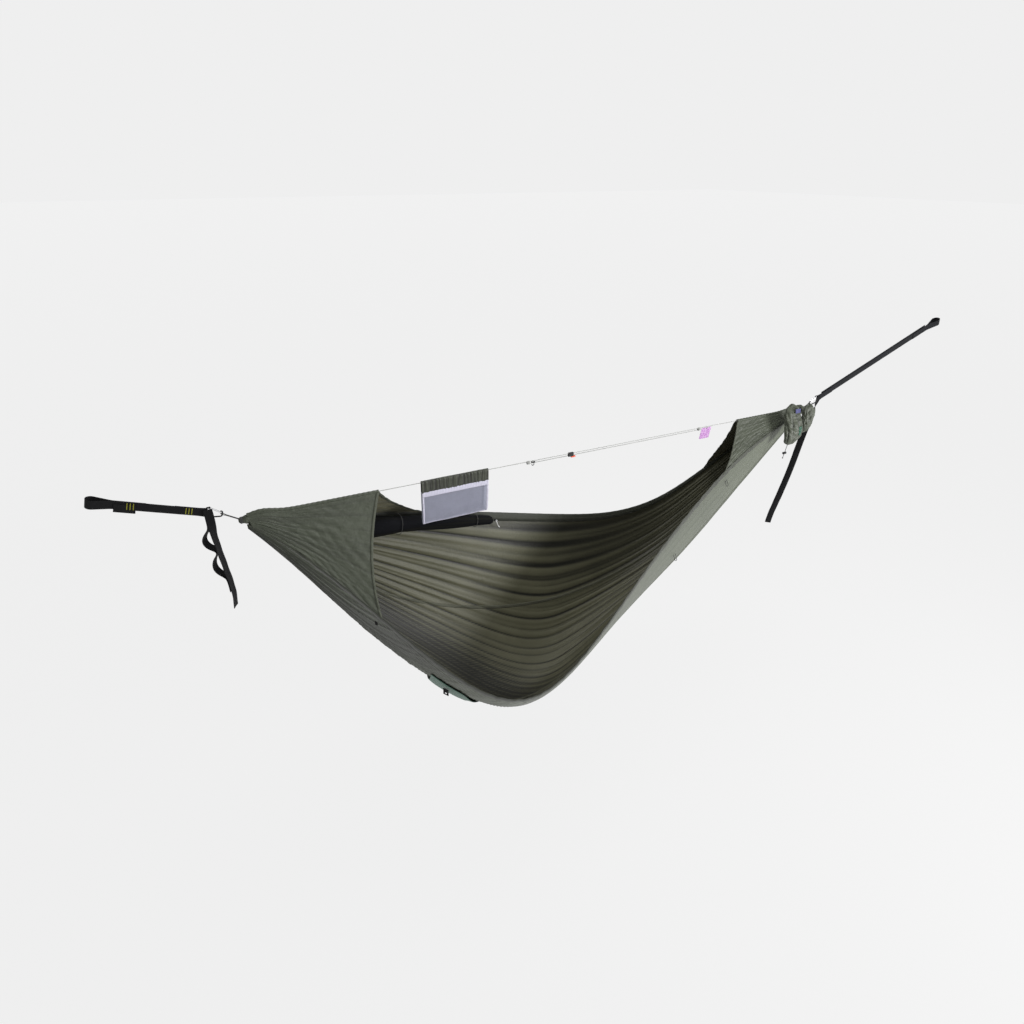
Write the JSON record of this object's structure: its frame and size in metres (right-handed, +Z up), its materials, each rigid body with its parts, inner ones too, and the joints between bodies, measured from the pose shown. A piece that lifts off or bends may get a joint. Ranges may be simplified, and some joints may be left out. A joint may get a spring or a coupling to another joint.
{
  "type": "camping hammock",
  "caption": "Gathered-end camping hammock with end hoods, ridgeline, hanging organizer, rolled insect net, webbing straps and wire-gate carabiners.",
  "frame": {"origin": "centre of the head strap's sewn eye", "axes": "+X from the head strap's eye to the foot end, along the ridgeline; +Y to the hammock's far side; +Z up"},
  "size_m": [3.987, 0.8563, 1.4088],
  "materials": {
    "shell": "matte",
    "shell_inner": "matte",
    "green_layer": "matte",
    "binding": "matte",
    "webbing": "matte",
    "webbing_dark": "matte",
    "tacks": "matte",
    "cord_dark": "matte",
    "cord_light": "matte",
    "net": "matte",
    "mesh": "matte",
    "carabiner": "satin",
    "gate": "polished",
    "black_plastic": "matte",
    "orange_plastic": "gloss",
    "tag": "matte",
    "label": "matte",
    "white_trim": "matte"
  },
  "bodies": {
    "suspension": {"foot_carabiner": "carabiner", "foot_strap": "webbing_dark", "foot_strap_daisy": "webbing_dark", "foot_strap_tacks": "tacks", "foot_tail": "webbing", "foot_tail_loops": "webbing", "head_carabiner": "carabiner", "head_strap": "webbing", "head_strap_daisy": "webbing", "head_strap_tacks": "tacks", "head_tail": "webbing", "head_tail_loops": "webbing"},
    "head_gate": {"head_gate": "gate"},
    "foot_gate": {"foot_gate": "gate"},
    "tensioner": {"tensioner_body": "black_plastic", "tensioner_lever": "orange_plastic"},
    "tag_loop": {"tag_loop": "cord_dark"},
    "tag": {"tag": "tag"},
    "organizer_tunnel": {"organizer_tunnel": "shell"},
    "organizer": {"organizer_sleeve": "shell", "organizer_back": "shell", "organizer_mesh": "mesh"},
    "net_pull": {"net_pull": "white_trim"},
    "cord_lock": {"lock_barrel": "black_plastic"},
    "lock_button": {"lock_button": "white_trim"},
    "hammock": {"bed_center_panel": "shell_inner", "bed_far_panel": "shell_inner", "bed_near_panel": "shell", "bug_net": "net", "far_rim_hem": "binding", "foot_end_loop": "cord_dark", "foot_gather": "binding", "foot_hood_channel": "shell", "foot_hood_far": "shell", "foot_hood_near": "shell", "head_end_loop": "cord_dark", "head_gather": "binding", "head_hood_channel": "shell", "head_hood_far": "shell", "head_hood_near": "shell", "near_rim_hem": "binding", "net_slider": "black_plastic", "net_tie_foot": "black_plastic", "net_tie_head": "black_plastic", "ridge_hook": "black_plastic", "ridge_knot_foot": "cord_light", "ridge_knot_head": "cord_light", "ridgeline_foot": "cord_light", "ridgeline_head": "cord_light", "sack_body": "shell", "sack_collar": "binding", "sack_drawcord": "cord_dark", "sack_label": "label", "sack_lobe": "shell", "tie_loop_foot": "cord_dark", "tie_loop_near": "cord_dark", "tie_tab_head": "webbing", "tie_tab_low": "webbing", "under_layer": "green_layer"}
  },
  "joints": [
    {"name": "hammock_swing", "type": "hinge", "parent": "suspension", "child": "hammock", "pos_m": [0.35753, 0, -0.12872], "axis": [1, 0, -0.006], "range_deg": [-20, 20]},
    {"name": "head_gate_hinge", "type": "hinge", "parent": "suspension", "child": "head_gate", "pos_m": [0.32368, 0, -0.09581], "axis": [0, 1, 0], "range_deg": [0, 20], "stiffness_Nm_per_rad": 0.04, "springref_deg": -11.46},
    {"name": "foot_gate_hinge", "type": "hinge", "parent": "suspension", "child": "foot_gate", "pos_m": [3.22631, 0, -0.11012], "axis": [0, -1, 0], "range_deg": [0, 20], "stiffness_Nm_per_rad": 0.04, "springref_deg": -11.46},
    {"name": "tensioner_slide", "type": "slide", "parent": "hammock", "child": "tensioner", "axis": [1, 0, 0], "range_m": [-0.14, 0.3]},
    {"name": "tag_slide", "type": "slide", "parent": "hammock", "child": "tag_loop", "axis": [1, 0, 0], "range_m": [-0.01, 0.14]},
    {"name": "tag_swing", "type": "hinge", "parent": "tag_loop", "child": "tag", "pos_m": [2.52361, 0, -0.16941], "axis": [1, 0, 0], "range_deg": [-35, 35]},
    {"name": "organizer_slide", "type": "slide", "parent": "hammock", "child": "organizer_tunnel", "axis": [1, 0, 0], "range_m": [-0.15, 0.16]},
    {"name": "organizer_swing", "type": "hinge", "parent": "organizer_tunnel", "child": "organizer", "pos_m": [1.22861, 0, -0.16111], "axis": [1, 0, 0], "range_deg": [-40, 20]},
    {"name": "net_pull_hinge", "type": "hinge", "parent": "hammock", "child": "net_pull", "pos_m": [1.48421, 0.11813, -0.51429], "axis": [0, 1, 0], "range_deg": [-35, 35]},
    {"name": "cord_lock_slide", "type": "slide", "parent": "hammock", "child": "cord_lock", "axis": [0, 0, 1], "range_m": [-0.012, 0.03]},
    {"name": "lock_button_press", "type": "slide", "parent": "cord_lock", "child": "lock_button", "axis": [-1, 0, 0], "range_m": [0, 0.003], "stiffness_N_per_m": 200, "springref_m": -0.002}
  ]
}
